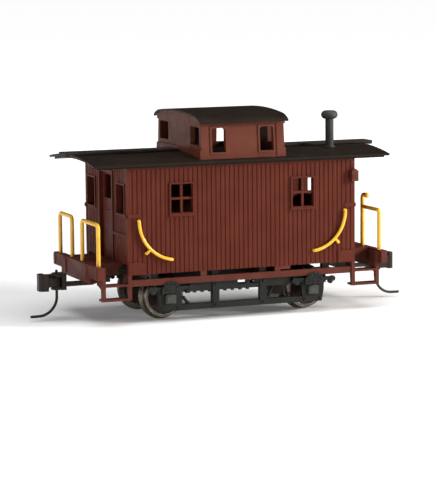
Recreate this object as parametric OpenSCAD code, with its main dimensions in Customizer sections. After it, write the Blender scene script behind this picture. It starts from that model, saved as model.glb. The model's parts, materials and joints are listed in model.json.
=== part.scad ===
// Four-wheel model railway caboose with a full-width cupola, for 16.5 mm gauge track.
// X runs along the car (the a end is -X, the b end is +X), Y across it, Z up from the wheel flanges.
// The "near" side is -Y and the "far" side is +Y.

/* [Body] */
// Length of the body over its end walls
body_l = 57; // [52:0.5:60]
// Width of the body over its side walls
body_w = 29.6; // [28:0.2:31]
// Height of the lower edge of the side walls
side_z0 = 11.7; // [11.4:0.1:12.2]
// Pitch of the vertical siding boards
board_pitch = 1.14; // [0.9:0.02:1.6]
// Distance of each side window from the middle of the car
side_window_x = 15.2; // [13.5:0.1:17]

/* [Roof and cupola] */
// Length of the main roof over its ends
roof_l = 74; // [70:0.5:78]
// Width of the main roof over its eaves
roof_w = 33; // [32.6:0.2:34]
// Height of the top of the main roof at the ridge
ridge_z = 38.6; // [38.2:0.1:39.4]
// Rise of the main roof from eave to ridge
roof_rise = 1.4; // [1.2:0.1:1.8]
// Length of the cupola walls
cupola_l = 20.8; // [20:0.2:22]
// Distance of the cupola's middle from the middle of the car, towards the b end
cupola_shift = 0.3; // [0:0.1:0.4]
// Height of the top of the cupola roof
cupola_top_z = 48.2; // [48:0.1:49]

/* [Platforms] */
// Height of the platform decks
deck_z = 14; // [13.6:0.1:14.4]
// Length over the two end beams
frame_l = 72.8; // [72:0.2:73.6]
// Width of each end beam
beam_w = 32.6; // [31:0.2:34]
// Height of the end railings above the deck
railing_h = 9.5; // [8:0.1:11]
// Diameter of the railing bars
railing_d = 0.95; // [0.7:0.05:1.1]

/* [Running gear] */
// Distance between the two axles
wheelbase = 36; // [34:0.5:38]
// Diameter of each wheel at its tread
tread_d = 9.6; // [9.2:0.1:10]
// Depth of the wheel flanges
flange_h = 0.7; // [0.5:0.05:0.8]
// Distance between the backs of the two wheels on one axle
back_to_back = 14.4; // [14.2:0.05:14.6]
// Diameter of the turned journal at each end of an axle
journal_d = 1; // [0.8:0.05:1.2]
// Radial running clearance of each bearing and pivot
clearance = 0.05; // [0.03:0.01:0.09]

/* [Couplers] */
// Height of the middle of the coupler heads
coupler_z = 9.2; // [9:0.1:9.6]
// Distance of each coupler's pivot from the middle of the car
coupler_pivot_x = 31.5; // [31:0.1:32]
// Diameter of the trip pins
trip_pin_d = 0.65; // [0.5:0.05:0.8]

/* [Hidden] */

$fn = 48;
// Facets of the wide arcs of the roofs
arc_fn = 360;
// Overlap that lets a cut pass cleanly through a face
eps = 0.05;

car_red = [0.40, 0.19, 0.16];
car_dark_red = [0.30, 0.13, 0.11];
roof_black = [0.15, 0.13, 0.12];
frame_black = [0.12, 0.12, 0.11];
rail_yellow = [0.93, 0.70, 0.20];
bright_metal = [0.75, 0.74, 0.70];
coupler_brown = [0.20, 0.14, 0.11];
plain_steel = [0.55, 0.55, 0.54];

// Body
body_x = body_l / 2;
body_y = body_w / 2;
wall_t = 1.2;
inner_x = body_x - wall_t;
inner_y = body_y - wall_t;
groove_w = 0.6;
groove_floor_w = 0.3;
groove_d = 0.15;
trim_t = 0.3;
// The roof cuts the walls off a little above this height
wall_top_z = 36.4;

// Main roof: two stacked arched sheets, the lower one set in from the edges
roof_r = (pow(roof_w / 2, 2) + pow(roof_rise, 2)) / (2 * roof_rise);
roof_t = 0.5;
fascia_t = 0.55;
fascia_inset_x = 1.0;
fascia_inset_y = 0.85;
body_top_r = roof_r - roof_t - fascia_t;

// Openings in the walls
window_w = 5.4;
window_h = 6.7;
window_z = 25.5;
muntin = 0.55;
end_window_y = 10.4;
end_window_w = 5.2;
door_w = 8.6;
door_h = 20.3;
door_recess = 0.7;
door_window_w = 6.2;
door_window_z = 28;
door_window_h = 5.6;
belt_z = 20.3;

// Cupola
cupola_x = cupola_l / 2;
cupola_y = body_y - 0.15;
cupola_lean = 1.1;
cupola_wall_t = 1.2;
cupola_roof_t = 0.5;
cupola_roof_r = 106;
cupola_roof_x = cupola_x + 0.7;
cupola_roof_y = 15.4;
cupola_eave_y = 12;
cupola_eave_bend = 0.075;
cupola_window_x = 6;
cupola_window_w = 3.4;
cupola_window_z = 39;
cupola_window_h = 5.6;
cupola_base_z = 39.55;
cupola_cornice_z = 45.15;
cupola_panel = [8.5, 37.75];
cupola_end_window_y = 10.1;
cupola_end_window_w = 5.7;
cupola_end_window_z = 40.5;
cupola_end_window_h = 4.3;

// Stove pipe on the b end's roof, beside the running board
smokestack_x = 26.05;
smokestack_y = -6.05;
pipe_r = 1;
board_half_w = 2.5;
board_x1 = 39.1;
board_t = 0.5;

// Platforms, steps and sills
beam_x = frame_l / 2;
beam_t = 1.5;
beam_h = 3;
beam_drop_w = 21;
beam_drop_h = 1.4;
deck_t = 1;
well_y = 9;
riser_t = 0.6;
riser_h = 2.8;
step_plate_t = 0.9;
step_in_x = 27.7;
step_out_x = beam_x - beam_t - step_plate_t;
step_y = body_y + 0.2;
step_z = 5.9;
sill_z0 = 9;
sill_z1 = 10.5;
sill_t = 1;

// End railings, by the places of their two posts across the car
rail_x = beam_x - 1.1;
wide_rail_y = [2.3, 13.8];
narrow_rail_y = [5.2, 14.2];
rail_corner_r = 1.1;
brake_staff_y = 4.9;
brake_staff_z = 26.4;

// Curved grab irons on the sides
grab_d = 0.75;
grab_r = 9.3;
grab_x = 16.6;
grab_z = 24.1;
grab_sweep = 82;
grab_y = body_y + 0.6;

// Running gear
axle_z = tread_d / 2 + flange_h;
flange_r = axle_z;
tread_r = tread_d / 2;
wheel_back = back_to_back / 2;
flange_t = 0.75;
wheel_t = 2.8;
tyre_t = 0.75;
axle_r = 0.75;
journal_r = journal_d / 2;
journal_end = 13.2;
bearing_y = 12;
frame_in = 12.6;
frame_out = 14;
tie_z0 = 2.65;
tie_z1 = 4;
frame_top_z = 9;
pedestal_w = 5.6;
dome_r = 2.45;
dome_top_z = 9.75;
dome_z = 7.9;
chassis_z0 = 12.2;
chassis_z1 = 13.1;
girder_x = 19.5;
girder_y = 4.6;
girder_z0 = 8.6;

// Couplers, drawn with the pivot at the local origin and the head towards +X
shank_z0 = 8.1;
shank_z1 = 8.9;
eye_z0 = 9.3;
eye_z1 = 10.1;
shank_w = 2.2;
box_x0 = -2.6;
box_x1 = 1.7;
box_y = 3.3;
box_wall = 0.5;
box_gap = 0.1;
cover_t = 0.45;
box_z1 = 10.7;
pad_z = 11.2;
post_r = 0.95;
screw_r = 0.45;
head_h = 3.8;
head_z0 = coupler_z - head_h / 2;
head_z1 = coupler_z + head_h / 2;
pin_x = 9.5;
pin_r = trip_pin_d / 2;
pin_top_z = 11.9;
hub_r = 1.3;
lug_h = 0.75;
hub_gap = 0.08;
pin_bend_z = 5.7;
pin_bend_r = 4.5;

// Turns a piece drawn for the b end round to the a end
module at_end(end) {
  rotate([0, 0, end == "a" ? 180 : 0]) children();
}

// Draws a piece for the b end, near side, in any of the four corners
module at_corner(end, side) {
  mirror([end == "a" ? 1 : 0, 0, 0]) mirror([0, side == "far" ? 1 : 0, 0]) children();
}

// A cylinder lying across the car's length, from x0 to x1
module x_cylinder(r, x0, x1, fn = arc_fn) {
  translate([x0, 0, 0]) rotate([0, 90, 0]) cylinder(r = r, h = x1 - x0, $fn = fn);
}

// A cylinder lying across the car, from y0 to y1
module y_cylinder(r, y0, y1) {
  translate([0, y0, 0]) rotate([-90, 0, 0]) cylinder(r = r, h = y1 - y0);
}

// A box given by its two opposite corners
module box(low, high) {
  translate(low) cube(high - low);
}

// One arched sheet of a roof: its plan size, outer radius, thickness and crown height
module arched_sheet(length, width, radius, thickness, crown_z) {
  intersection() {
    translate([0, 0, crown_z - radius]) difference() {
      x_cylinder(radius, -length / 2, length / 2);
      x_cylinder(radius - thickness, -length / 2 - 1, length / 2 + 1);
    }
    box([-length / 2 - 1, -width / 2, crown_z - 6], [length / 2 + 1, width / 2, crown_z + 1]);
  }
}

// Row of shallow grooves along X, cut towards +Y from y = 0
module groove_row(length) {
  count = floor(length / board_pitch);
  for (i = [0:count])
    translate([(i - count / 2) * board_pitch, 0])
      polygon([[-groove_w / 2, -eps], [groove_w / 2, -eps], [groove_floor_w / 2, groove_d],
               [-groove_floor_w / 2, groove_d]]);
}

// Plan outline of the boarded walls
module wall_outline() {
  difference() {
    square([body_l, body_w], center = true);
    square([inner_x * 2, inner_y * 2], center = true);
    for (side = [0, 180]) {
      rotate(side) translate([0, -body_y]) groove_row(body_l - 2 * board_pitch);
      rotate(side + 90) translate([0, -body_x]) groove_row(body_w - 4 * board_pitch);
    }
  }
}

// Crossed bars that divide a side window into four panes, with its casing
module side_window_frame() {
  z_mid = window_z + window_h / 2;
  depth = 0.7;
  translate([side_window_x, -body_y, 0]) {
    box([-muntin / 2, 0.15, window_z - eps], [muntin / 2, 0.15 + depth, window_z + window_h + eps]);
    box([-window_w / 2 - eps, 0.2, z_mid - muntin / 2],
        [window_w / 2 + eps, 0.15 + depth, z_mid + muntin / 2]);
    casing(window_w, window_h, window_z);
    box([-window_w / 2 - 0.6, -trim_t - 0.15, window_z - 0.75],
        [window_w / 2 + 0.6, 0.3, window_z - 0.35]);
  }
}

// Raised frame round an opening in a wall that faces -Y at y = 0
module casing(w, h, z0, border = 0.4) {
  difference() {
    box([-w / 2 - border, -trim_t, z0 - border], [w / 2 + border, groove_d + 0.1, z0 + h + border]);
    box([-w / 2, -1, z0], [w / 2, 1, z0 + h]);
  }
}

module body_openings() {
  for (end = ["a", "b"], side = ["near", "far"]) at_corner(end, side) {
    translate([side_window_x - window_w / 2, -body_y - 1, window_z]) cube([window_w, 3, window_h]);
    translate([body_x - 2, -end_window_y - end_window_w / 2, window_z])
      cube([3, end_window_w, window_h]);
  }
  for (end = ["a", "b"]) at_end(end) {
    box([body_x - door_recess, -door_w / 2, deck_z - 1], [body_x + 1, door_w / 2, deck_z + door_h]);
    box([body_x - 2, -door_window_w / 2, door_window_z],
        [body_x + 1, door_window_w / 2, door_window_z + door_window_h]);
    box([body_x - 1.6, -inner_y, side_z0 - 1], [body_x + 1, inner_y, deck_z]);
  }
}

// Trim on the outside of the walls
module body_trim() {
  for (end = ["a", "b"], side = ["near", "far"]) at_corner(end, side) {
    side_window_frame();
    // Corner plate, corner strap and lamp bracket
    box([body_x - 4.3, -body_y - 0.25, side_z0], [body_x, -body_y + 0.4, side_z0 + 2.8]);
    box([body_x - 2.6, -body_y - 0.2, 24.8], [body_x, -body_y + 0.4, 25.7]);
    translate([body_x - eps, -body_y + 0.6, 25.2]) rotate([0, 90, 0]) cylinder(d = 1, h = 0.55);
    // Casing of the end window
    translate([body_x, -end_window_y, 0]) rotate([0, 0, 90]) casing(end_window_w, window_h, window_z);
    // Corner post
    box([body_x - 0.6, -body_y, deck_z], [body_x + 0.12, -body_y + 0.9, wall_top_z]);
    // Plain band under the eave
    box([0, -body_y - 0.02, wall_top_z - 0.5], [body_x, -body_y + 0.5, wall_top_z]);
  }
  for (end = ["a", "b"]) at_end(end) {
    // Belt rail across the end wall, with the doorway left clear
    for (s = [-1, 1])
      translate([0, s * (door_w / 2 + body_y) / 2, 0])
        box([body_x - 0.4, -(body_y - door_w / 2) / 2 + 0.1, belt_z],
            [body_x + 0.18, (body_y - door_w / 2) / 2 - 0.1, belt_z + 0.6]);
    // Door casing
    difference() {
      box([body_x - 0.4, -door_w / 2 - 0.7, deck_z],
          [body_x + 0.25, door_w / 2 + 0.7, deck_z + door_h + 0.6]);
      box([body_x - 1, -door_w / 2, deck_z - 1], [body_x + 1, door_w / 2, deck_z + door_h]);
    }
    // Raised lower panel of the door
    box([body_x - door_recess - 0.1, -2.8, deck_z + 2], [body_x - door_recess + 0.2, 2.8, belt_z + 5]);
  }
}

module body_shell() {
  color(car_red) intersection() {
    union() {
      difference() {
        translate([0, 0, side_z0]) linear_extrude(height = ridge_z - side_z0) wall_outline();
        body_openings();
      }
      body_trim();
    }
    translate([0, 0, ridge_z - roof_r]) x_cylinder(body_top_r, -body_x - 2, body_x + 2);
  }
}

module roof() {
  color(roof_black) union() {
    arched_sheet(roof_l, roof_w, roof_r, roof_t, ridge_z);
    arched_sheet(roof_l - 2 * fascia_inset_x, roof_w - 2 * fascia_inset_y, roof_r - roof_t + 0.1,
                 fascia_t + 0.1, ridge_z - roof_t + 0.1);
  }
}

// Three planks on cross battens, from the cupola to the end of the roof
module running_board(end) {
  x0 = cupola_x + cupola_shift + 0.6;
  plank_gap = 0.2;
  plank_w = (2 * board_half_w - 2 * plank_gap) / 3;
  z0 = ridge_z + 0.1;
  batten_w = 0.9;
  color(roof_black) at_end(end) {
    difference() {
      union() {
        for (i = [-1:1])
          translate([x0, i * (plank_w + plank_gap) - plank_w / 2, z0])
            cube([board_x1 - x0, plank_w, board_t]);
        for (i = [0:3])
          translate([x0 + 1 + i * (roof_l / 2 - x0 - 2.2) / 3, -board_half_w + 0.1, ridge_z - 0.4])
            cube([batten_w, 2 * board_half_w - 0.2, 0.7]);
      }
      translate([0, 0, ridge_z - roof_r]) x_cylinder(roof_r, 0, roof_l);
    }
    // End batten below the overhang
    translate([board_x1 - batten_w - 0.1, -board_half_w, z0 - 0.4])
      cube([batten_w, 2 * board_half_w, 0.4 + eps]);
  }
}

// Cross-section of the cupola across the car, in Y and Z, drawn with a wall thickness taken off
module cupola_section(inset) {
  base_z = ridge_z - 3;
  polygon([[-cupola_y + inset, base_z], [cupola_y - inset, base_z],
           [cupola_y - cupola_lean - inset, cupola_top_z], [-cupola_y + cupola_lean + inset, cupola_top_z]]);
}

module cupola_prism(inset, half_x) {
  translate([cupola_shift - half_x, 0, 0]) rotate([90, 0, 90]) linear_extrude(height = 2 * half_x)
    cupola_section(inset);
}

// Window opening with rounded top corners, centred on y = 0, cut along Y
module rounded_opening(w, h, depth, r = 0.7) {
  rotate([90, 0, 0]) translate([0, 0, -depth / 2]) linear_extrude(height = depth) {
    translate([-w / 2, 0]) square([w, h - r]);
    translate([-w / 2 + r, h - r - eps]) square([w - 2 * r, r + eps]);
    for (s = [-1, 1]) translate([s * (w / 2 - r), h - r]) circle(r = r);
  }
}

// Raised frame round a cupola side window, in the plane of the leaning wall
module cupola_casing(border = 0.45) {
  h = cupola_window_h + 2 * border;
  intersection() {
    cupola_prism(-0.2, cupola_x);
    translate([0, 0, cupola_window_z - border]) rounded_opening(cupola_window_w + 2 * border, h, 40, 0.5);
  }
}

module cupola_side_windows() {
  for (x = [-cupola_window_x, cupola_window_x]) translate([cupola_shift + x, 0, 0]) children();
}

// Proud corner pilasters, cornice and base boards round the plain inner prism
module cupola_frame() {
  z_top = cupola_top_z;
  intersection() {
    union() {
      cupola_prism(-0.2, cupola_x);
      // Cornice right round, under the cupola roof
      intersection() {
        cupola_prism(-0.35, cupola_x + 0.3);
        box([-20, -20, cupola_cornice_z], [20, 20, z_top]);
      }
      // Base boards on the end walls, with level top edges
      intersection() {
        cupola_prism(-0.2, cupola_x + 0.35);
        box([-20, -20, 30], [20, 20, cupola_base_z]);
      }
    }
    difference() {
      box([-20, -20, 30], [20, 20, z_top]);
      // Sunk panels of the two sides
      for (s = [-1, 1]) translate([cupola_shift, s * 20, 0])
        box([-cupola_panel[0], -20 + cupola_wall_t, cupola_panel[1]],
            [cupola_panel[0], 20 - cupola_wall_t, cupola_cornice_z]);
    }
  }
}

module cupola() {
  color(car_red) intersection() {
    difference() {
      union() {
        cupola_prism(0, cupola_x);
        cupola_frame();
        cupola_side_windows() cupola_casing();
      }
      cupola_prism(cupola_wall_t, cupola_x - cupola_wall_t);
      translate([0, 0, ridge_z - roof_r]) x_cylinder(roof_r, -20, 20);
      cupola_side_windows()
        translate([0, 0, cupola_window_z]) rounded_opening(cupola_window_w, cupola_window_h, 40);
      for (y = [-cupola_end_window_y, cupola_end_window_y])
        translate([0, y, cupola_end_window_z]) rotate([0, 0, 90])
          rounded_opening(cupola_end_window_w, cupola_end_window_h, 40, 0.4);
    }
    cupola_under_roof();
  }
}

// Height of the cupola roof's top at a distance from its middle: nearly flat, steeper at the eaves
function cupola_roof_z(y) =
  cupola_top_z - y * y / (2 * cupola_roof_r) - cupola_eave_bend * pow(max(0, abs(y) - cupola_eave_y), 2);

// Points of the cupola roof's curve across the car, dropped by a thickness
function cupola_curve(drop, steps = 24) =
  [for (i = [-steps:steps]) let (y = cupola_roof_y * i / steps) [y, cupola_roof_z(y) - drop]];

// Everything below the cupola roof
module cupola_under_roof() {
  translate([-20, 0, 0]) rotate([90, 0, 90]) linear_extrude(height = 40)
    polygon(concat([[cupola_roof_y, 0], [-cupola_roof_y, 0]], cupola_curve(cupola_roof_t)));
}

// Curved sheet with turned-down eaves
module cupola_roof() {
  outline = cupola_curve(cupola_roof_t);
  last = len(outline) - 1;
  color(roof_black) translate([cupola_shift - cupola_roof_x, 0, 0]) rotate([90, 0, 90])
    linear_extrude(height = 2 * cupola_roof_x)
      polygon(concat(cupola_curve(0), [for (i = [0:last]) outline[last - i]]));
}

// Stove pipe with a flattened ball cap, on a low flashing that ends under the planks
module smokestack() {
  cap_r = 2;
  cap_half_h = 1;
  cap_z = 7.5;
  color(frame_black) difference() {
    translate([smokestack_x, smokestack_y, ridge_z]) rotate_extrude() {
      translate([0, -1]) square([pipe_r, cap_z + 1]);
      translate([0, -1]) square([pipe_r + 0.35, 1.05]);
      translate([0, cap_z - cap_half_h]) square([cap_r - cap_half_h + 0.1, 2 * cap_half_h]);
      translate([cap_r - cap_half_h, cap_z]) circle(r = cap_half_h);
    }
    translate([0, 0, ridge_z - roof_r]) x_cylinder(roof_r, 20, 40);
  }
}

// Two square lamps on the corners of the b end
module marker_lamps() {
  color(car_dark_red) for (s = [-1, 1]) mirror([0, s == 1 ? 1 : 0, 0]) difference() {
    union() {
      box([body_x - 1.2, -body_y - 1.4, 30.9], [body_x + 0.5, -body_y + 0.7, 33.5]);
      box([body_x - 0.9, -body_y - 1.1, 33.4], [body_x + 0.2, -body_y + 0.4, 33.8]);
    }
    box([0, -body_y - trim_t - 0.01, 0], [body_x + 0.13, body_y, 50]);
  }
}

// Bent wire on a side: a quarter arc with two turned-in ends and a middle foot
module grab_iron(end, side) {
  foot_angle = 45;
  foot_r = grab_r + 1.3;
  brace_d = grab_d - 0.1;
  color(rail_yellow) at_corner(end, side) translate([grab_x, -grab_y, grab_z]) union() {
    rotate([90, 0, 0]) rotate([0, 0, -grab_sweep]) rotate_extrude(angle = grab_sweep)
      translate([grab_r, 0]) circle(d = grab_d, $fn = 24);
    for (a = [0, grab_sweep]) translate([grab_r * cos(a), 0, -grab_r * sin(a)]) grab_foot();
    translate([grab_r * cos(foot_angle), 0, -grab_r * sin(foot_angle)])
      rotate([0, 90 + foot_angle, 0]) cylinder(d = brace_d, h = foot_r - grab_r, $fn = 24);
    translate([foot_r * cos(foot_angle), 0, -foot_r * sin(foot_angle)]) grab_foot();
  }
}

// Short stud from behind the wire in to the wall
module grab_foot() {
  rotate([-90, 0, 0]) cylinder(d = grab_d - 0.05, h = grab_y - body_y, $fn = 24);
}

// Post from the beam up to a height, at a place across the car
module rail_post(y, z1) {
  translate([rail_x, y, deck_z]) cylinder(d = railing_d, h = z1 - deck_z, $fn = 24);
}

// Rounded corner between a post and the top bar: turn = 1 at the high-Y post, -1 at the low one
module rail_corner(y, turn, r = rail_corner_r) {
  translate([rail_x, y - turn * r, deck_z + railing_h - r]) mirror([0, turn == 1 ? 0 : 1, 0])
    rotate([90, 0, 90]) rotate_extrude(angle = 90) translate([r, 0]) circle(d = railing_d, $fn = 24);
}

module rail_bar(y0, y1) {
  translate([rail_x, y0, deck_z + railing_h]) rotate([-90, 0, 0])
    cylinder(d = railing_d, h = y1 - y0, $fn = 24);
}

module rail_loop(y) {
  bar_z = deck_z + railing_h;
  union() {
    rail_post(y[0], bar_z - rail_corner_r);
    rail_post(y[1], bar_z - rail_corner_r);
    rail_corner(y[0], -1);
    rail_corner(y[1], 1);
    rail_bar(y[0] + rail_corner_r, y[1] - rail_corner_r);
  }
}

// Railing for the b end: the narrow loop stands on the near side, the wide one on the far side
module end_rail(end, side) {
  is_wide = (end == "b") == (side == "far");
  color(rail_yellow) at_end(end) {
    if (is_wide) rail_loop(wide_rail_y);
    else mirror([0, 1, 0]) rail_loop(narrow_rail_y);
  }
}

// The near railing at the b end carries the brake staff, whose top curls over into a handle
module end_rail_b_near() {
  post_y = -narrow_rail_y[1];
  corner_r = 0.6;
  staff_d = railing_d + 0.1;
  hook_r = 0.9;
  handle_l = 1.5;
  color(rail_yellow) union() {
    rail_post(post_y, deck_z + railing_h - corner_r);
    rail_corner(post_y, -1, corner_r);
    rail_bar(post_y + corner_r, -brake_staff_y);
    translate([rail_x, -brake_staff_y, 0]) {
      translate([0, 0, deck_z]) cylinder(d = staff_d, h = brake_staff_z - hook_r - deck_z, $fn = 24);
      translate([0, -hook_r, brake_staff_z - hook_r]) rotate([90, 0, 90])
        rotate_extrude(angle = 90) translate([hook_r, 0]) circle(d = staff_d, $fn = 24);
      translate([0, -hook_r - handle_l, brake_staff_z]) {
        rotate([-90, 0, 0]) cylinder(d = staff_d, h = handle_l, $fn = 24);
        sphere(d = staff_d + 0.3, $fn = 24);
      }
    }
  }
}

// Deck, end beam and the low risers beside the two step wells
module platform(end) {
  tongue_x = inner_x;
  color(car_red) at_end(end) union() {
    box([tongue_x, -well_y, deck_z - deck_t], [beam_x - 0.2, well_y, deck_z]);
    box([beam_x - beam_t, -beam_w / 2, deck_z - beam_h], [beam_x, beam_w / 2, deck_z]);
    box([beam_x - beam_t, -beam_drop_w / 2, deck_z - beam_h - beam_drop_h],
        [beam_x, beam_drop_w / 2, deck_z - beam_h + eps]);
    for (s = [-1, 1]) translate([0, s * (well_y - riser_t / 2), 0])
      box([step_in_x + step_plate_t, -riser_t / 2, deck_z - riser_h],
          [beam_x - 0.5, riser_t / 2, deck_z - 0.2]);
    // Buffer blocks and sill straps on the outside of the beam
    for (s = [-1, 1]) translate([beam_x - eps, s * 7.6, 0])
      box([0, -1.2, deck_z - beam_h - 0.9], [0.35, 1.2, deck_z - 0.35]);
    for (s = [-1, 1]) translate([beam_x - eps, s * 15.3, 0])
      box([0, -0.7, deck_z - beam_h + 0.3], [0.25, 0.7, deck_z - 0.3]);
  }
}

// One step unit: two slim plates that widen at the top, and two open treads
module steps(end, side) {
  tread_z = 9.2;
  plate_foot = 0.8;
  color(car_red) at_corner(end, side) union() {
    // Inner plate
    translate([step_in_x + step_plate_t, 0, 0]) rotate([90, 0, -90]) linear_extrude(height = step_plate_t)
      polygon([[step_y, step_z], [step_y, side_z0], [step_y - 3.4, side_z0], [step_y - 3.4, tread_z + 0.2],
               [step_y - plate_foot - 0.3, tread_z - 0.3], [step_y - plate_foot, step_z]]);
    // Outer plate, up to the beam
    translate([step_out_x + step_plate_t, 0, 0]) rotate([90, 0, -90]) linear_extrude(height = step_plate_t)
      polygon([[step_y, step_z], [step_y, deck_z - 0.3], [step_y - 3.9, deck_z - 0.3],
               [step_y - 3.9, tread_z + 0.2], [step_y - 2.6, tread_z],
               [step_y - plate_foot - 0.3, tread_z - 0.5], [step_y - plate_foot, step_z]]);
    box([step_in_x + eps, -step_y, tread_z], [step_out_x + step_plate_t - eps, -step_y + 3, tread_z + 0.45]);
    box([step_in_x + eps, -step_y, step_z], [step_out_x + step_plate_t - eps, -step_y + 2.6, step_z + 0.5]);
  }
}

// Long sill below the siding, carried on spacer blocks that leave a narrow slot
module side_sill(side) {
  blocks = [[-10.7, -9.1], [8, 9.4]];
  color(car_red) rotate([0, 0, side == "far" ? 180 : 0]) union() {
    box([-step_in_x, -body_y, sill_z0], [step_in_x, -body_y + sill_t, sill_z1]);
    for (b = blocks)
      box([b[0], -body_y + 0.15, sill_z1 - eps], [b[1], -body_y + sill_t, side_z0]);
    // Strip beside one block, close below the siding
    box([blocks[1][1] - eps, -body_y + 0.15, sill_z1 + 0.35], [12, -body_y + sill_t, side_z0]);
  }
}

// Floor plate inside the foot of the body, with a centre girder and brackets for the side frames
module chassis() {
  color(frame_black) union() {
    box([-inner_x, -inner_y + 0.1, chassis_z0], [inner_x, inner_y - 0.1, chassis_z1]);
    box([-girder_x, -girder_y, girder_z0], [girder_x, girder_y, chassis_z0 + eps]);
    for (s = [-1, 1], x = [-21.6, -6.6, 5.4, 21.6])
      rotate([0, 0, s == 1 ? 0 : 180]) translate([x, 0, 0])
        box([-0.9, -frame_out + 0.5, frame_top_z], [0.9, -frame_in + 0.5, chassis_z0 + eps]);
    // Pads that the draft boxes hang from
    for (s = [-1, 1], y = [-1, 1])
      translate([s * 25.6, y * 3, 0]) box([-1.1, -1.2, pad_z], [1.1, 1.2, chassis_z0 + eps]);
  }
}

module ballast_weight() {
  color(plain_steel) difference() {
    box([-23, -11.5, chassis_z1], [23, 11.5, chassis_z1 + 2]);
    for (s = [-1, 1]) translate([s * 18, 0, chassis_z1 - 1]) cylinder(d = 3, h = 4);
  }
}

// Pedestal round one axle box, seen from the side in X and Z
module pedestal_outline() {
  polygon([[-pedestal_w / 2, dome_z], [-pedestal_w / 2, axle_z - 0.5], [-pedestal_w / 2 + 0.5, tie_z0],
           [pedestal_w / 2 - 0.5, tie_z0], [pedestal_w / 2, axle_z - 0.5], [pedestal_w / 2, dome_z]]);
}

// Black side frame: top bar, two pedestals, two posts and the tie bar, with blind axle bearings
module side_frame(side) {
  bolt_pitch = 1.9;
  notches = [[-1, 1.2], [2, 4.1]];
  color(frame_black) rotate([0, 0, side == "far" ? 180 : 0]) difference() {
    union() {
      box([-21.5, -frame_out + 0.3, dome_z - 0.9], [21.5, -frame_in, frame_top_z]);
      for (s = [-1, 1]) translate([s * wheelbase / 2, -frame_in, 0]) {
        rotate([90, 0, 0]) linear_extrude(height = frame_out - frame_in) pedestal_outline();
        translate([0, frame_in - bearing_y, axle_z]) rotate([90, 0, 0]) cylinder(r = 1.7, h = 1);
      }
      for (x = [-6.6, 5.4]) box([x - 0.85, -frame_out, tie_z0 + 0.1], [x + 0.85, -frame_in, 8.9]);
      box([-wheelbase / 2, -frame_out + 0.15, tie_z0], [wheelbase / 2, -frame_in, tie_z1]);
      // Row of nuts hanging below the top bar
      for (i = [0:8]) translate([-13.6 + i * bolt_pitch, -frame_out + 0.8, dome_z - 1.35])
        cylinder(d = 0.9, h = 0.6, $fn = 16);
    }
    for (s = [-1, 1]) translate([s * wheelbase / 2, 0, axle_z])
      y_cylinder(journal_r + clearance, -journal_end - 0.1, -bearing_y + 1);
    // Two gaps between the top bar and the sill
    for (x = notches) box([x[0], -frame_out - 1, dome_z], [x[1], -frame_in + 1, frame_top_z + 1]);
  }
}

// Stack of leaves over an axle box: each leaf is shorter than the one above, and the top one has eyes
module leaf_springs() {
  leaf_t = 0.42;
  color(frame_black) for (end = ["a", "b"], side = ["near", "far"])
    at_corner(end, side) translate([wheelbase / 2, -frame_out, 0]) union() {
      for (i = [0:3])
        translate([0, 0, dome_z + 0.55 - i * leaf_t])
          box([-5 + i * 0.95, -0.75, -leaf_t - 0.02], [5 - i * 0.95, 0, 0]);
      for (s = [-1, 1]) {
        translate([s * 4.9, 0, dome_z + 0.05]) rotate([90, 0, 0]) cylinder(r = 0.65, h = 0.85);
        // Shackle below the eye
        translate([s * 4.3, 0, dome_z - 0.6]) rotate([90, 0, 0]) cylinder(r = 0.55, h = 0.8);
      }
      // Saddle over the middle of the leaves
      difference() {
        translate([0, 0, dome_top_z - dome_r]) rotate([90, 0, 0]) cylinder(r = dome_r, h = 1.3);
        box([-3, -2, dome_top_z - 2 * dome_r - 1], [3, 1, dome_z - 0.9]);
        box([-3, frame_out - body_y, sill_z0], [3, 1, dome_z + 3]);
      }
    }
}

// Square oil-box lids on the outside of the pedestals
module journal_lids() {
  lid_w = 2.5;
  color(frame_black) for (end = ["a", "b"], side = ["near", "far"])
    at_corner(end, side) translate([wheelbase / 2, -frame_out, axle_z]) union() {
      box([-lid_w / 2, -0.6, -1], [lid_w / 2, 0, 1]);
      box([-lid_w / 2 + 0.3, -0.75, -0.7], [lid_w / 2 - 0.3, 0, 0.7]);
      translate([-0.8, -0.45, 0.9]) rotate([0, 90, 0]) cylinder(r = 0.3, h = 1.6);
    }
}

// Air brake cylinder under the floor, behind the near sill
module brake_cylinder() {
  color(frame_black) translate([8.2, -8.4, 9.2]) union() {
    rotate([0, 90, 0]) cylinder(r = 1.7, h = 4.6, center = true);
    translate([-2.4, 0, 0]) rotate([0, 90, 0]) cylinder(r = 2, h = 0.6, center = true);
    translate([-3.6, 0, 0]) rotate([0, 90, 0]) cylinder(r = 0.45, h = 2.4, center = true);
    box([-1.2, -0.8, 0], [1.2, 0.8, 3]);
    box([-1.2, -0.8, 0.5], [1.2, 8.4 - girder_y, 1.2]);
  }
}

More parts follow.
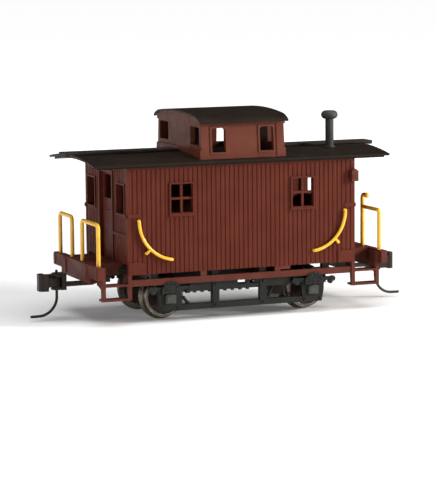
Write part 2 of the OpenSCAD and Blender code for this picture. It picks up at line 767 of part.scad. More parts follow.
// Levers and hangers that run from the brake cylinder towards the wheels
module brake_rigging() {
  tube_x = 11.4;
  hanger_y = 10.7;
  lever_y = 11.7;
  color(frame_black) union() {
    // Cross tube, held at both ends by the side frames
    translate([tube_x, 0, 7.4]) y_cylinder(0.45, -frame_in, frame_in);
    for (y = [-hanger_y, hanger_y]) translate([tube_x, y, 0]) {
      box([-0.4, -0.4, 3.4], [0.4, 0.4, 9.8]);
      translate([0, 0, 3.6]) rotate([90, 0, 0]) cylinder(r = 0.6, h = 1.2, center = true);
    }
    for (y = [-lever_y, lever_y]) {
      translate([tube_x - 2.8, y, 6.4]) rotate([0, 28, 0]) cube([0.6, 0.7, 5], center = true);
      translate([tube_x - 1.6, y, 7.4]) cube([3.6, 0.7, 0.6], center = true);
    }
    // Hand levers that stand on the tie bars
    for (turn = [0, 180]) rotate([0, 0, turn]) translate([-13.4, -frame_in - 0.5, tie_z1]) {
      box([-0.4, -0.4, 0], [0.4, 0.4, 0.5]);
      translate([0, 0, 0.2]) rotate([0, -38, 0]) box([-0.3, -0.35, 0], [0.3, 0.35, 2]);
    }
  }
}

// Roof and walls of a draft box, open below and at its mouth
module draft_box(end) {
  cover_z1 = eye_z0 - box_gap;
  color(frame_black) at_end(end) translate([coupler_pivot_x, 0, 0]) difference() {
    union() {
      box([box_x0, -box_y, cover_z1], [box_x1, box_y, box_z1]);
      // Lug that reaches up behind to the pads of the chassis
      box([-7, -4, box_z1 - 0.5], [box_x0 + 1, 4, box_z1]);
      box([-7, -4.2, box_z1 - eps], [-4.8, 4.2, pad_z]);
      // Packing between the box and the deck
      box([box_x0 + 0.4, -1.8, box_z1 - eps], [box_x1 - 0.4, 1.8, deck_z - deck_t]);
    }
    box([box_x0 + box_wall, -box_y + box_wall, cover_z1 - 1],
        [box_x1 + 1, box_y - box_wall, eye_z1 + box_gap]);
    translate([0, 0, cover_z1]) cylinder(r = screw_r, h = 3.2);
  }
}

// Cover that closes a draft box from below and carries the coupler's pivot post
module draft_cover(end) {
  cover_z1 = eye_z0 - box_gap;
  color(frame_black) at_end(end) translate([coupler_pivot_x, 0, 0]) difference() {
    union() {
      box([box_x0, -box_y, cover_z1 - cover_t], [box_x1, box_y, cover_z1]);
      translate([0, 0, cover_z1 - cover_t]) cylinder(r = post_r, h = eye_z1 + box_gap - cover_z1 + cover_t);
    }
    translate([0, 0, cover_z1 - 1]) cylinder(r = screw_r, h = 4);
  }
}

// Pan-head screws, one up through the post of each draft cover
module coupler_screws() {
  cover_z0 = eye_z0 - box_gap - cover_t;
  color(plain_steel) for (end = ["a", "b"]) at_end(end) translate([coupler_pivot_x, 0, 0]) difference() {
    union() {
      translate([0, 0, cover_z0 - 0.5]) cylinder(r = 0.95, h = 0.5);
      translate([0, 0, cover_z0 - 0.1]) cylinder(r = screw_r, h = 3);
    }
    box([-1.2, -0.12, cover_z0 - 0.6], [1.2, 0.12, cover_z0 - 0.25]);
  }
}

// Stepped shank and head: the head's two lugs hold the knuckle's hub between them
module coupler(end) {
  bore_r = pin_r + clearance;
  step_x = 2.1;
  color(coupler_brown) at_end(end) translate([coupler_pivot_x, 0, 0]) difference() {
    union() {
      translate([0, 0, eye_z0]) cylinder(r = 1.9, h = eye_z1 - eye_z0);
      box([0, -shank_w / 2, eye_z0], [step_x + 0.6, shank_w / 2, eye_z1]);
      box([step_x, -shank_w / 2, shank_z0], [step_x + 0.6, shank_w / 2, eye_z1]);
      box([step_x, -shank_w / 2, shank_z0], [pin_x - 1.6, shank_w / 2, shank_z1]);
      box([pin_x - 1.85, -2, head_z0], [pin_x - 0.75, 1.9, head_z1]);
      for (z = [head_z0, head_z1 - lug_h]) {
        box([pin_x - 0.8, -2, z], [pin_x + 0.4, 1.35, z + lug_h]);
        translate([pin_x, 0, z]) cylinder(r = 1.35, h = lug_h);
      }
      // Guard arm, opposite the knuckle
      translate([pin_x, 0, head_z0 + 0.4]) linear_extrude(height = head_h - 0.8)
        polygon([[-1.6, -1.5], [-1.6, -2.2], [1.7, -2.4], [2.9, -2.9], [3.1, -2.5], [1.9, -1.9],
                 [0.8, -1.5]]);
    }
    translate([0, 0, eye_z0 - 1]) cylinder(r = post_r + clearance, h = 3);
    translate([pin_x, 0, head_z0 - 1]) cylinder(r = bore_r, h = head_h + 2);
    // Room for the hub to turn
    translate([pin_x, 0, head_z0 + lug_h]) cylinder(r = hub_r + 0.12, h = head_h - 2 * lug_h);
  }
}

// Knuckle: a hub on the trip pin, an arm and a full-height nose
module knuckle(end) {
  hub_z0 = head_z0 + lug_h + hub_gap;
  hub_h = head_h - 2 * lug_h - 2 * hub_gap;
  color(coupler_brown) at_end(end) translate([coupler_pivot_x + pin_x, 0, 0]) difference() {
    union() {
      translate([0, 0, hub_z0]) cylinder(r = hub_r, h = hub_h);
      translate([0, 0, hub_z0]) linear_extrude(height = hub_h)
        polygon([[0, 1.3], [0.4, 0.2], [1.2, 0], [1.9, 0.8], [3.4, 0.9], [3.4, 2], [1.5, 2]]);
      translate([0, 0, head_z0 - 0.1]) linear_extrude(height = head_h + 0.2)
        polygon([[2.3, 1.1], [2.9, 1.1], [3.2, 0.7], [3.2, -0.5], [3.5, -0.8], [4.4, -0.7], [4.75, -0.1],
                 [4.75, 1.5], [4.3, 2], [2.5, 2.1]]);
    }
    translate([0, 0, head_z0 - 1]) cylinder(r = pin_r, h = head_h + 2);
  }
}

// Round wire: straight down through the head, then a quarter bend and a short tail along the track
module trip_pin(end) {
  color(frame_black) at_end(end) translate([coupler_pivot_x + pin_x, 0, 0]) union() {
    translate([0, 0, pin_bend_z]) cylinder(r = pin_r, h = pin_top_z - pin_bend_z, $fn = 24);
    translate([pin_bend_r, 0, pin_bend_z]) rotate([90, 0, 0]) rotate([0, 0, 180])
      rotate_extrude(angle = 90) translate([pin_bend_r, 0]) circle(r = pin_r, $fn = 24);
    translate([pin_bend_r, 0, pin_bend_z - pin_bend_r]) rotate([0, 90, 0])
      cylinder(r = pin_r, h = 1.7, $fn = 24);
    translate([pin_bend_r + 1.7, 0, pin_bend_z - pin_bend_r]) sphere(r = pin_r, $fn = 24);
  }
}

module at_axle(end) {
  translate([(end == "a" ? -1 : 1) * wheelbase / 2, 0, axle_z]) children();
}

module axle(end) {
  color(plain_steel) at_axle(end) union() {
    y_cylinder(axle_r, -wheel_back - wheel_t - 0.3, wheel_back + wheel_t + 0.3);
    y_cylinder(journal_r, -journal_end, journal_end);
  }
}

// Flanged metal tyres, turned from one profile
module tyres(end) {
  bore = tread_r - tyre_t;
  color(bright_metal) at_axle(end) for (s = [0, 180]) rotate([0, 0, s]) rotate([90, 0, 0])
    rotate_extrude($fn = 96)
      polygon([[bore, wheel_back], [flange_r - 0.25, wheel_back], [flange_r, wheel_back + 0.25],
               [flange_r, wheel_back + 0.45], [tread_r + 0.15, wheel_back + flange_t],
               [tread_r, wheel_back + flange_t + 0.2], [tread_r - 0.06, wheel_back + wheel_t],
               [bore, wheel_back + wheel_t]]);
}

// Dished wheel centres with a hub, between the tyre and the axle
module wheel_centres(end) {
  bore = tread_r - tyre_t;
  color(car_dark_red) at_axle(end) for (s = [0, 180]) rotate([0, 0, s]) rotate([90, 0, 0])
    rotate_extrude($fn = 96)
      polygon([[axle_r, wheel_back + 0.1], [bore, wheel_back + 0.2], [bore, wheel_back + wheel_t - 0.2],
               [bore - 0.45, wheel_back + wheel_t - 0.2], [bore - 0.7, wheel_back + wheel_t - 0.9],
               [1.7, wheel_back + wheel_t - 0.8], [1.5, wheel_back + wheel_t],
               [axle_r, wheel_back + wheel_t]]);
}

body_shell();
roof();
running_board("a");  // running_board_a
running_board("b");  // running_board_b
cupola();
cupola_roof();
smokestack();
marker_lamps();
grab_iron("a", "near");  // grab_iron_a_near
grab_iron("a", "far");  // grab_iron_a_far
grab_iron("b", "near");  // grab_iron_b_near
grab_iron("b", "far");  // grab_iron_b_far
end_rail("a", "near");  // end_rail_a_near
end_rail("a", "far");  // end_rail_a_far
end_rail_b_near();
end_rail("b", "far");  // end_rail_b_far
platform("a");  // platform_a
platform("b");  // platform_b
steps("a", "near");  // steps_a_near
steps("a", "far");  // steps_a_far
steps("b", "near");  // steps_b_near
steps("b", "far");  // steps_b_far
side_sill("near");  // side_sill_near
side_sill("far");  // side_sill_far
chassis();
ballast_weight();
side_frame("near");  // side_frame_near
side_frame("far");  // side_frame_far
leaf_springs();
journal_lids();
brake_cylinder();
brake_rigging();
draft_box("a");  // draft_box_a
draft_box("b");  // draft_box_b
draft_cover("a");  // draft_cover_a
draft_cover("b");  // draft_cover_b
coupler_screws();
coupler("a");  // coupler_a
coupler("b");  // coupler_b
knuckle("a");  // knuckle_a
knuckle("b");  // knuckle_b
trip_pin("a");  // trip_pin_a
trip_pin("b");  // trip_pin_b
axle("a");  // axle_a
axle("b");  // axle_b
tyres("a");  // tyres_a
tyres("b");  // tyres_b
wheel_centres("a");  // wheel_centres_a
wheel_centres("b");  // wheel_centres_b
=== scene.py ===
"""Looks of the model caboose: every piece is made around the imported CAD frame, in metres."""

import json
import math

import bmesh
import bpy
from mathutils import Matrix, Vector


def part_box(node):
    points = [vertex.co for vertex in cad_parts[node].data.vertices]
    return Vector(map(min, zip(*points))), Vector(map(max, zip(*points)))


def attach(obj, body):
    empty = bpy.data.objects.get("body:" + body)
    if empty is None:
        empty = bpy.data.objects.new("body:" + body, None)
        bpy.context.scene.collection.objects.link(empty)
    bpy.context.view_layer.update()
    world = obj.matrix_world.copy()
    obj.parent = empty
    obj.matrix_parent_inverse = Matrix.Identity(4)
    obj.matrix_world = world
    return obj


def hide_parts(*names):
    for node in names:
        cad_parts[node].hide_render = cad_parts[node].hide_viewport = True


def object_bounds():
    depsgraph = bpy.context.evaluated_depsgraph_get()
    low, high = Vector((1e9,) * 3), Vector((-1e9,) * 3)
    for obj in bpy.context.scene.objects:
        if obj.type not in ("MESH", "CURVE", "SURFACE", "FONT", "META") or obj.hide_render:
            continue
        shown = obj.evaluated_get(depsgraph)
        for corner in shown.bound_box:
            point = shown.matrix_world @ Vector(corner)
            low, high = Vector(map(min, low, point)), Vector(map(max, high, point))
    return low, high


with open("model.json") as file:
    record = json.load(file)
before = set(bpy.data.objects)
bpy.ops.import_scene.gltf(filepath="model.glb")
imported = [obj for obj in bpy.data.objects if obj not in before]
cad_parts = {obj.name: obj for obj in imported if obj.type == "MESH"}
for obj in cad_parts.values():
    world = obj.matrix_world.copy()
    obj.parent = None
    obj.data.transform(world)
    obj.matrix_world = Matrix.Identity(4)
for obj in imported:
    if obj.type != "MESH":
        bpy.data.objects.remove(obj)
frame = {"nodes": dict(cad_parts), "record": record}
cad_box = [list(corner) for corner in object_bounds()]

MM = 0.001
ENDS = {"a": -1, "b": 1}
SIDES = {"near": -1, "far": 1}
CORNERS = [(end, side) for end in ENDS for side in SIDES]
BODIES = frame["record"]["behaviour"]["bodies"]
BODY_OF = {node: body for body, nodes in BODIES.items() for node in nodes}


# ---------------------------------------------------------------- materials

def srgb(red, green, blue):
    """Linear colour of an 8-bit screen colour."""
    parts = [c / 255 for c in (red, green, blue)]
    return [c / 12.92 if c <= 0.04 else ((c + 0.055) / 1.055) ** 2.4 for c in parts] + [1.0]


def lighter(colour, factor):
    """The colour with each part times factor, which can also darken it."""
    return [min(1.0, c * factor) for c in colour[:3]] + [1.0]


class Graph:
    """A material's node graph, with short calls for the nodes that the finishes share."""

    def __init__(self, name):
        self.material = bpy.data.materials.new(name)
        self.material.use_nodes = True
        self.tree = self.material.node_tree
        self.shader = self.tree.nodes["Principled BSDF"]
        self.place = self.tree.nodes.new("ShaderNodeTexCoord").outputs["Object"]
        self.normal = self.tree.nodes.new("ShaderNodeNewGeometry").outputs["Normal"]

    def feed(self, socket, value):
        """Links another node's output to a socket, or sets the socket to a plain value."""
        if isinstance(value, bpy.types.NodeSocket):
            self.tree.links.new(value, socket)
        else:
            socket.default_value = value

    def node(self, kind, settings=None, **inputs):
        made = self.tree.nodes.new("ShaderNode" + kind)
        for key, value in (settings or {}).items():
            setattr(made, key, value)
        for key, value in inputs.items():
            self.feed(made.inputs[key], value)
        return made

    def math(self, operation, first, second=0.0, clamp=False):
        made = self.node("Math", {"operation": operation, "use_clamp": clamp})
        self.feed(made.inputs[0], first)
        self.feed(made.inputs[1], second)
        return made.outputs[0]

    def vector(self, operation, first, second=(0, 0, 0), output=0):
        made = self.node("VectorMath", {"operation": operation})
        self.feed(made.inputs[0], first)
        self.feed(made.inputs[1], second)
        return made.outputs[output]

    def remap(self, value, low, high, to_low=0.0, to_high=1.0):
        """A smooth step from to_low to to_high while value goes from low to high."""
        made = self.node("MapRange", {"interpolation_type": "SMOOTHSTEP"})
        for index, number in enumerate((value, low, high, to_low, to_high)):
            self.feed(made.inputs[index], number)
        return made.outputs[0]

    def mix(self, factor, first, second):
        made = self.node("Mix", {"data_type": "RGBA"})
        self.feed(made.inputs[0], factor)
        self.feed(made.inputs[6], first)
        self.feed(made.inputs[7], second)
        return made.outputs[2]

    def noise(self, size, detail=3.0, stretch=(1, 1, 1)):
        """Noise from 0 to 1 whose blobs are about size metres across, stretched along the axes."""
        scaled = self.vector("MULTIPLY", self.place, [1 / (size * s) for s in stretch])
        return self.node("TexNoise", Vector=scaled, Scale=1.0, Detail=detail).outputs["Fac"]

    def axis(self, index, place=None):
        return self.node("SeparateXYZ", Vector=place or self.place).outputs[index]

    def edge(self, radius):
        """1 along sharp edges and 0 on open surfaces."""
        rounded = self.node("Bevel", {"samples": 4}, Radius=radius).outputs[0]
        facing = self.vector("DOT_PRODUCT", rounded, self.normal, output=1)
        return self.remap(facing, 0.90, 0.995, 1.0, 0.0)

    def facing_up(self):
        """1 on level tops and 0 on walls."""
        return self.remap(self.axis(2, self.normal), 0.3, 0.95)

    def bump(self, height, depth, below=None):
        """The normal of a relief that is depth metres deep, laid over the relief below it."""
        made = self.node("Bump", Height=height, Distance=depth, Strength=1.0)
        if below is not None:
            self.feed(made.inputs["Normal"], below)
        return made.outputs[0]

    def finish(self, colour, roughness, normal=None, **inputs):
        """Feeds the shader's inputs and returns the material."""
        self.feed(self.shader.inputs["Base Color"], colour)
        self.feed(self.shader.inputs["Roughness"], roughness)
        if normal is not None:
            self.feed(self.shader.inputs["Normal"], normal)
        for key, value in inputs.items():
            self.feed(self.shader.inputs[key.replace("_", " ")], value)
        return self.material


DUST = srgb(150, 138, 124)


def plastic(name, colour, deep, roughness=0.42, grain=1.0, edge_wear_and_highlight=1.35, dust=0.05, boards=False,
            specular=0.5):
    """Moulded plastic: flow blotches, fine grain, polished edges lightened partly by wear and partly as a
    painted highlight, and settled dust.
    """
    g = Graph(name)
    blotches = g.remap(g.noise(5 * MM, 4.0), 0.35, 0.68)
    tone = g.mix(blotches, deep, colour)
    if boards:
        tone = g.mix(g.math("MULTIPLY", board_tone(g), 0.16), tone, lighter(deep, 0.8))
    edge = g.edge(0.14 * MM)
    # The edges are lightened in scuffed patches: partly rubbed wear, partly a painted highlight.
    scuffs = g.remap(g.noise(0.7 * MM, 4.0), 0.4, 0.62)
    rubbed_edge_and_highlight = g.math("MULTIPLY", g.math("MULTIPLY", edge, scuffs), 0.55)
    tone = g.mix(rubbed_edge_and_highlight, tone, lighter(colour, edge_wear_and_highlight))
    settled = g.math("MULTIPLY", g.facing_up(), g.remap(g.noise(1.6 * MM, 5.0), 0.38, 0.7))
    tone = g.mix(g.math("MULTIPLY", settled, dust), tone, DUST)
    shine = g.remap(g.noise(2.2 * MM, 4.0), 0.3, 0.7, roughness - 0.05, roughness + 0.07)
    shine = g.math("SUBTRACT", shine, g.math("MULTIPLY", edge, 0.08), clamp=True)
    shape = g.bump(g.noise(0.16 * MM, 3.0), 0.006 * MM * grain)
    shape = g.bump(g.noise(1.5 * MM, 2.0), 0.010 * MM, below=shape)
    if boards:
        streaks = g.noise(0.22 * MM, 4.0, stretch=(1, 1, 26))
        shape = g.bump(streaks, 0.010 * MM, below=shape)
    return g.finish(tone, shine, shape, Specular_IOR_Level=specular)


BOARD_PITCH = 1.14 * MM


def board_tone(g):
    """A random tone for each siding board, whichever way its wall faces."""
    side_index = g.math("FLOOR", g.math("DIVIDE", g.axis(0), BOARD_PITCH))
    end_index = g.math("FLOOR", g.math("DIVIDE", g.math("ADD", g.axis(1), BOARD_PITCH / 2), BOARD_PITCH))
    faces_end = g.math("GREATER_THAN", g.math("ABSOLUTE", g.axis(0, g.normal)), 0.6)
    index = g.node("Mix", {"data_type": "FLOAT"})
    g.feed(index.inputs[0], faces_end)
    g.feed(index.inputs[2], side_index)
    g.feed(index.inputs[3], end_index)
    return g.node("TexWhiteNoise", {"noise_dimensions": "1D"}, W=index.outputs[0]).outputs["Value"]


def roof_finish(name, colour, deep):
    """Black roof moulding with the faint grit of painted canvas and a trace of dust on its top."""
    g = Graph(name)
    tone = g.mix(g.remap(g.noise(7 * MM, 4.0), 0.35, 0.65), deep, colour)
    edge = g.edge(0.14 * MM)
    # Painted highlight: the roof's edges are lightened to twice its colour.
    tone = g.mix(g.math("MULTIPLY", edge, 0.5), tone, lighter(colour, 2.0))
    settled = g.math("MULTIPLY", g.facing_up(), g.remap(g.noise(2.4 * MM, 6.0), 0.42, 0.72))
    tone = g.mix(g.math("MULTIPLY", settled, 0.015), tone, DUST)
    grit = g.noise(0.2 * MM, 4.0)
    shape = g.bump(grit, 0.010 * MM)
    shape = g.bump(g.noise(2.5 * MM, 2.0), 0.012 * MM, below=shape)
    return g.finish(tone, g.remap(grit, 0.3, 0.7, 0.40, 0.52), shape, Specular_IOR_Level=0.12)


def plank_finish(name, colour, deep):
    """Moulded planks: long wood grain, darker between the fibres."""
    g = Graph(name)
    fibres = g.noise(0.16 * MM, 5.0, stretch=(32, 1, 1))
    tone = g.mix(g.remap(fibres, 0.35, 0.65), deep, colour)
    edge = g.edge(0.10 * MM)
    # Painted highlight: the plank edges are lightened.
    tone = g.mix(g.math("MULTIPLY", edge, 0.6), tone, lighter(colour, 1.9))
    settled = g.math("MULTIPLY", g.facing_up(), g.remap(g.noise(1.5 * MM, 5.0), 0.4, 0.7))
    tone = g.mix(g.math("MULTIPLY", settled, 0.08), tone, DUST)
    shape = g.bump(fibres, 0.030 * MM)
    return g.finish(tone, g.remap(fibres, 0.3, 0.7, 0.5, 0.66), shape, Specular_IOR_Level=0.2)


def enamel(name, colour, deep):
    """Glossy enamel on wire: a light clear coat, faint orange peel and a few darker worn spots."""
    g = Graph(name)
    tone = g.mix(g.remap(g.noise(2.5 * MM, 4.0), 0.35, 0.7), deep, colour)
    chips = g.remap(g.noise(0.35 * MM, 5.0), 0.70, 0.78)
    tone = g.mix(g.math("MULTIPLY", chips, 0.5), tone, lighter(deep, 0.6))
    shape = g.bump(g.noise(0.3 * MM, 2.0), 0.008 * MM)
    shine = g.remap(g.noise(0.8 * MM, 3.0), 0.3, 0.7, 0.26, 0.38)
    return g.finish(tone, shine, shape, Coat_Weight=0.2, Coat_Roughness=0.2)


def turned_metal(name, colour, centre):
    """Plated metal turned on a lathe: fine rings about the axle, a dull bloom and painted highlights along
    its edges.
    """
    roughness = 0.24
    g = Graph(name)
    arm = g.vector("SUBTRACT", g.place, centre)
    flat = g.vector("MULTIPLY", arm, (1, 0, 1))
    radius = g.vector("LENGTH", flat, output=1)
    ring_pitch = 0.09 * MM
    turns = g.math("MULTIPLY", g.math("ADD", radius, g.axis(1)), 2 * math.pi / ring_pitch)
    rings = g.math("SINE", turns)
    bloom = g.remap(g.noise(1.2 * MM, 5.0), 0.35, 0.7)
    tone = g.mix(g.math("MULTIPLY", bloom, 0.35), colour, lighter(colour, 0.62))
    # Painted highlight: the edges are lightened to near white.
    tone = g.mix(g.edge(0.12 * MM), tone, lighter(colour, 4.5))
    shine = g.math("ADD", g.remap(g.noise(0.3 * MM, 3.0), 0.3, 0.7, roughness - 0.05, roughness + 0.06),
                   g.math("MULTIPLY", bloom, 0.08))
    shape = g.bump(rings, 0.0015 * MM)
    shape = g.bump(g.noise(0.15 * MM, 3.0), 0.003 * MM, below=shape)
    return g.finish(tone, shine, shape, Metallic=1.0)


def brushed_metal(name, colour, roughness=0.38):
    """Plain steel with fine level streaks and dark oxide patches."""
    g = Graph(name)
    streaks = g.noise(0.1 * MM, 4.0, stretch=(30, 30, 1))
    oxide = g.remap(g.noise(1.8 * MM, 5.0), 0.45, 0.7)
    tone = g.mix(g.math("MULTIPLY", oxide, 0.5), colour, lighter(colour, 0.45))
    shape = g.bump(streaks, 0.005 * MM)
    shine = g.math("ADD", g.remap(streaks, 0.3, 0.7, roughness - 0.06, roughness + 0.06),
                   g.math("MULTIPLY", oxide, 0.15))
    return g.finish(tone, shine, shape, Metallic=1.0)


def wheel_centre(end):
    """Middle of one wheelset, which the turned rings of its tyres go round."""
    low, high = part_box("tyres_" + end)
    return tuple((low + high) / 2)


body_red = plastic("body_red", srgb(94, 43, 31), srgb(87, 38, 27), roughness=0.5, edge_wear_and_highlight=1.25, dust=0.02,
                   boards=True, specular=0.08)
trim_red = plastic("trim_red", srgb(94, 47, 37), srgb(84, 41, 31), roughness=0.48, dust=0.02, specular=0.12)
cupola_red = plastic("cupola_red", srgb(103, 55, 42), srgb(94, 47, 35), roughness=0.46, dust=0.02,
                     specular=0.12)
lamp_red = plastic("lamp_red", srgb(93, 48, 38), srgb(86, 43, 34), dust=0.02, specular=0.15)
roof_black = roof_finish("roof_black", srgb(31, 23, 17), srgb(27, 19, 14))
plank_black = plank_finish("plank_black", srgb(42, 36, 30), srgb(29, 24, 20))
frame_black = plastic("frame_black", srgb(29, 31, 27), srgb(21, 22, 19), edge_wear_and_highlight=2.0, dust=0.02,
                      specular=0.25)
lid_grey = plastic("lid_grey", srgb(70, 73, 66), srgb(60, 63, 56), edge_wear_and_highlight=1.4, specular=0.3)
stove_black = plastic("stove_black", srgb(60, 60, 56), srgb(48, 48, 45), roughness=0.6, grain=1.6,
                      edge_wear_and_highlight=1.5, specular=0.25)
# Black coupler plastic with a brown tint that paints in the reflection of the red car.
coupler_brown = plastic("coupler_brown", srgb(46, 32, 25), srgb(34, 23, 18), roughness=0.4, edge_wear_and_highlight=1.8,
                        specular=0.3)
wheel_red = plastic("wheel_red", srgb(52, 28, 23), srgb(38, 20, 17), roughness=0.4, edge_wear_and_highlight=1.5,
                    specular=0.25)
wire_black = plastic("wire_black", srgb(38, 32, 28), srgb(28, 23, 20), roughness=0.4, edge_wear_and_highlight=1.6,
                     specular=0.3)
rail_yellow = enamel("rail_yellow", srgb(250, 196, 58), srgb(243, 180, 38))
tyre_metal = {end: turned_metal("tyre_metal_" + end, srgb(112, 105, 95), wheel_centre(end)) for end in ENDS}
axle_steel = brushed_metal("axle_steel", srgb(120, 118, 114))
screw_steel = brushed_metal("screw_steel", srgb(168, 166, 162), 0.32)
ballast_steel = brushed_metal("ballast_steel", srgb(140, 138, 134), 0.46)


# ---------------------------------------------------------------- mesh helpers

def finished(name, bm, node, material, width, angle):
    """Turns a mesh in the making into a smooth-shaded piece that rides with a node, its edges rounded."""
    for face in bm.faces:
        face.smooth = True
    mesh = bpy.data.meshes.new(name)
    bm.to_mesh(mesh)
    bm.free()
    mesh.materials.clear()
    mesh.materials.append(material)
    piece = bpy.data.objects.new(name, mesh)
    bpy.context.scene.collection.objects.link(piece)
    rounding = piece.modifiers.new("rounding", "BEVEL")
    rounding.width = width
    rounding.segments = 2
    rounding.limit_method = "ANGLE"
    rounding.angle_limit = math.radians(angle)
    shading = piece.modifiers.new("shading", "WEIGHTED_NORMAL")
    shading.weight = 100
    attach(piece, BODY_OF[node])
    return piece


def softened(node, material, width=0.07 * MM, flat=1.0):
    """Replaces a node by its own shape with every sharp edge rolled over. Faces within flat degrees merge."""
    weld = 0.001 * MM
    bm = bmesh.new()
    bm.from_mesh(frame["nodes"][node].data)
    bmesh.ops.remove_doubles(bm, verts=bm.verts, dist=weld)
    bmesh.ops.dissolve_degenerate(bm, edges=bm.edges, dist=weld)
    bmesh.ops.dissolve_limit(bm, angle_limit=math.radians(flat), verts=bm.verts, edges=bm.edges)
    piece = finished(node + "_soft", bm, node, material, width, angle=32)
    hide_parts(node)


def fitting(name, bm, node, material, width=0.03 * MM):
    """Finishes a detail made in code, which stands on a node and rides with it."""
    finished(name, bm, node, material, width, angle=30)


def add_block(bm, low, high):
    """Adds a box between two corners to a mesh in the making."""
    low, high = Vector(low), Vector(high)
    size = high - low
    place = Matrix.Translation((low + high) / 2) @ Matrix.Diagonal((*size, 1))
    bmesh.ops.create_cube(bm, size=1, matrix=place)


def add_stud(bm, foot, outward, radius, height, sides=6):
    """Adds a nut, nail head or lens that stands on a surface at foot and points outward."""
    taper = 0.85
    turn = Vector(outward).to_track_quat("Z", "Y").to_matrix().to_4x4()
    place = Matrix.Translation(Vector(foot) + Vector(outward) * height / 2) @ turn
    bmesh.ops.create_cone(bm, cap_ends=True, segments=sides, radius1=radius, radius2=radius * taper,
                          depth=height, matrix=place)


def outer_face(node, side):
    """Where across the car a node ends on that side."""
    low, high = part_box(node)
    return high[1] if side == "far" else low[1]


# ---------------------------------------------------------------- pieces

softened("body_shell", body_red, 0.06 * MM)
softened("cupola", cupola_red, 0.08 * MM)
softened("marker_lamps", lamp_red, 0.05 * MM)
softened("roof", roof_black, 0.08 * MM, flat=0.1)
softened("cupola_roof", roof_black, 0.08 * MM, flat=0.1)
softened("smokestack", stove_black, 0.12 * MM)
softened("chassis", frame_black)
softened("ballast_weight", ballast_steel)
softened("leaf_springs", frame_black, 0.06 * MM)
softened("journal_lids", lid_grey, 0.08 * MM)
softened("brake_cylinder", frame_black)
softened("brake_rigging", frame_black)
softened("coupler_screws", screw_steel, 0.04 * MM)
for side in SIDES:
    softened("side_sill_" + side, trim_red, 0.08 * MM)
    softened("side_frame_" + side, frame_black, 0.08 * MM)
for end in ENDS:
    softened("running_board_" + end, plank_black, 0.06 * MM)
    softened("platform_" + end, trim_red, 0.10 * MM)
    softened("draft_box_" + end, frame_black)
    softened("draft_cover_" + end, frame_black)
    softened("coupler_" + end, coupler_brown, 0.08 * MM)
    softened("knuckle_" + end, coupler_brown, 0.10 * MM)
    softened("trip_pin_" + end, wire_black, 0.04 * MM)
    softened("axle_" + end, axle_steel, 0.04 * MM)
    softened("tyres_" + end, tyre_metal[end], 0.05 * MM)
    softened("wheel_centres_" + end, wheel_red, 0.06 * MM)
for end, side in CORNERS:
    softened(f"grab_iron_{end}_{side}", rail_yellow, 0.06 * MM)
    softened(f"end_rail_{end}_{side}", rail_yellow, 0.06 * MM)
    softened(f"steps_{end}_{side}", trim_red, 0.08 * MM)


# ---------------------------------------------------------------- small fittings made in code

def spring_fittings(end, side):
    """Band, two rows of cross bars and an arc of nuts on the saddle of one leaf spring."""
    half_length = 5.55 * MM
    saddle_r = 2.45 * MM
    nut_circle_r = 1.95 * MM
    band_half_w = 0.55 * MM
    bar_half_h = 0.12 * MM
    sunk = 0.05 * MM
    proud = 0.14 * MM
    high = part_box("leaf_springs")[1]
    out = SIDES[side]
    face = outer_face("leaf_springs", side)
    x = ENDS[end] * (high[0] - half_length)
    middle_z = high[2] - saddle_r
    near, far = sorted((face - out * sunk, face + out * proud))
    bm = bmesh.new()
    add_block(bm, (x - band_half_w, near, middle_z - 0.25 * MM), (x + band_half_w, far, middle_z + 1.2 * MM))
    for row in range(2):
        z = middle_z + (0.25 + 0.55 * row) * MM
        reach = (1.75 - 0.4 * row) * MM
        for way in (-1, 1):
            left, right = sorted((x + way * 0.6 * MM, x + way * reach))
            add_block(bm, (left, near, z - bar_half_h), (right, far, z + bar_half_h))
    for angle in range(38, 143, 26):
        a = math.radians(angle)
        foot = (x + nut_circle_r * math.cos(a), face, middle_z + nut_circle_r * math.sin(a))
        add_stud(bm, foot, (0, out, 0), 0.26 * MM, 0.22 * MM)
    fitting(f"spring_fittings_{end}_{side}", bm, "leaf_springs", frame_black)


def frame_nuts(side):
    """Nuts on the posts and pedestals of one side frame, with places in mm. The far frame is turned round."""
    post_x = (-6.6, 5.4)
    post_nut_z = (3.4, 8.3)
    wheel_x = 18
    pedestal_nut_dx = 1.9
    nut_h = 0.24 * MM
    node = "side_frame_" + side
    out = SIDES[side]
    face = outer_face(node, side)
    bm = bmesh.new()
    for x in post_x:
        for z in post_nut_z:
            add_stud(bm, (-out * x * MM, face, z * MM), (0, out, 0), 0.34 * MM, nut_h)
    for x in (-wheel_x, wheel_x):
        for dx in (-pedestal_nut_dx, pedestal_nut_dx):
            add_stud(bm, ((x + dx) * MM, face, 3.3 * MM), (0, out, 0), 0.3 * MM, nut_h)
    fitting("frame_nuts_" + side, bm, node, frame_black)


def board_nails(end):
    """Five evenly spaced rows of nail heads in the three planks of one roof walk, two nails to a plank."""
    first_x = 12.75
    row_pitch = 6.42
    plank_pitch = 0.345
    nail_offset = 0.078
    node = "running_board_" + end
    low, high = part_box(node)
    width = high[1] - low[1]
    bm = bmesh.new()
    for row in range(5):
        x = ENDS[end] * (first_x + row * row_pitch) * MM
        for plank in (-1, 0, 1):
            for way in (-1, 1):
                y = (plank * plank_pitch + way * nail_offset) * width
                add_stud(bm, (x, y, high[2] - 0.02 * MM), (0, 0, 1), 0.11 * MM, 0.05 * MM, sides=8)
    fitting("board_nails_" + end, bm, node, plank_black, 0.01 * MM)


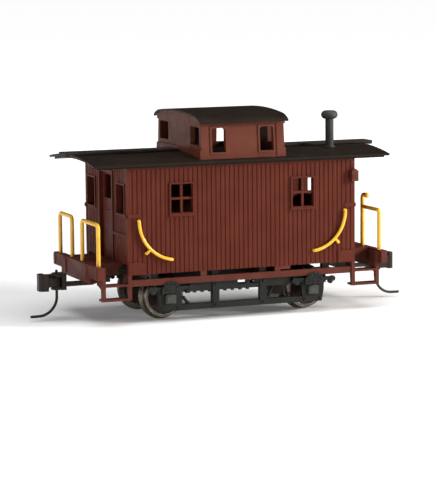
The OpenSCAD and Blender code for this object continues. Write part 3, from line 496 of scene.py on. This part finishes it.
def lamp_fittings():
    """A round lens on the outer face of each marker lamp."""
    lens_z = 1.3 * MM
    low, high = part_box("marker_lamps")
    x = (low[0] + high[0]) / 2
    bm = bmesh.new()
    for side, out in SIDES.items():
        foot = (x, outer_face("marker_lamps", side), low[2] + lens_z)
        add_stud(bm, foot, (0, out, 0), 0.7 * MM, 0.12 * MM, sides=32)
    fitting("lamp_fittings", bm, "marker_lamps", lamp_red)


for end, side in CORNERS:
    spring_fittings(end, side)
for side in SIDES:
    frame_nuts(side)
for end in ENDS:
    board_nails(end)
lamp_fittings()


# ---------------------------------------------------------------- camera, light and floor

def direction(azimuth, elevation):
    """Unit vector from the car towards a place at that azimuth and elevation, in degrees."""
    a, e = math.radians(azimuth), math.radians(elevation)
    return Vector((math.sin(a) * math.cos(e), -math.cos(a) * math.cos(e), math.sin(e)))


def point_at(thing, place, target, roll=0.0):
    """Puts a camera or lamp at a place, looking at a target."""
    look = (Vector(target) - Vector(place)).to_track_quat("-Z", "Y").to_matrix().to_4x4()
    thing.matrix_world = Matrix.Translation(place) @ look @ Matrix.Rotation(math.radians(roll), 4, "Z")


def add_camera():
    """The photograph's viewpoint: a long lens at the front left and a little above."""
    azimuth = -21.65
    elevation = 7.47
    distance_mm = 560
    middle = (Vector(cad_box[0]) + Vector(cad_box[1])) / 2
    aim = middle + Vector((-0.6, 0, -9.25)) * MM
    data = bpy.data.cameras.new("camera")
    data.lens = 170.5
    data.sensor_width = 36
    data.clip_start = 0.02
    data.clip_end = 20
    camera = bpy.data.objects.new("camera", data)
    bpy.context.scene.collection.objects.link(camera)
    point_at(camera, aim + direction(azimuth, elevation) * distance_mm * MM, aim, roll=-0.5)
    bpy.context.scene.camera = camera


def add_softbox(name, azimuth, elevation, distance, width, height, power, colour=(1, 1, 1)):
    """A rectangular lamp that faces the car, with its size and distance in metres and its power in watts."""
    data = bpy.data.lights.new(name, "AREA")
    data.shape = "RECTANGLE"
    data.size = width
    data.size_y = height
    data.energy = power
    data.color = colour
    lamp = bpy.data.objects.new(name, data)
    bpy.context.scene.collection.objects.link(lamp)
    target = Vector((0, 0, 20 * MM))
    point_at(lamp, target + direction(azimuth, elevation) * distance, target)


def add_sky():
    """A pale studio sky: brightest overhead and behind the car, dimmer at its left and front."""
    world = bpy.data.worlds.new("studio")
    world.use_nodes = True
    tree = world.node_tree
    place = tree.nodes.new("ShaderNodeTexCoord").outputs["Generated"]
    slope = tree.nodes.new("ShaderNodeVectorMath")
    slope.operation = "DOT_PRODUCT"
    slope.inputs[1].default_value = (0.10, 0.34, 0.44)
    level = tree.nodes.new("ShaderNodeMath")
    level.inputs[1].default_value = 0.40
    level.use_clamp = True
    tree.links.new(place, slope.inputs[0])
    tree.links.new(slope.outputs["Value"], level.inputs[0])
    tree.links.new(level.outputs[0], tree.nodes["Background"].inputs["Strength"])
    bpy.context.scene.world = world


def add_floor():
    """A wide pale floor at the height of the wheel flanges, which glows more with distance from the car."""
    half = 9.0
    corners = [(-half, -half, 0), (half, -half, 0), (half, half, 0), (-half, half, 0)]
    mesh = bpy.data.meshes.new("floor")
    mesh.from_pydata(corners, [], [(0, 1, 2, 3)])
    floor = bpy.data.objects.new("floor", mesh)
    bpy.context.scene.collection.objects.link(floor)
    g = Graph("floor_white")
    tone = g.mix(g.remap(g.noise(40 * MM, 3.0), 0.3, 0.7), srgb(240, 240, 240), srgb(246, 246, 246))
    reach = g.vector("LENGTH", g.vector("MULTIPLY", g.place, (1, 1, 0)), output=1)
    glow = g.remap(reach, 50 * MM, 420 * MM, 0.10, 0.95)
    mesh.materials.append(g.finish(tone, 0.8, Emission_Color=(1, 1, 1, 1), Emission_Strength=glow,
                                   Specular_IOR_Level=0.0))


bpy.context.scene.view_settings.view_transform = "Standard"
add_camera()
add_sky()
add_softbox("key", 58, 18, 0.50, 0.12, 0.12, 3.1, (1.0, 0.97, 0.93))
add_softbox("overhead", -10, 78, 0.50, 0.50, 0.40, 2.4)
add_softbox("fill", -88, 16, 0.60, 0.40, 0.30, 0.9)
add_floor()
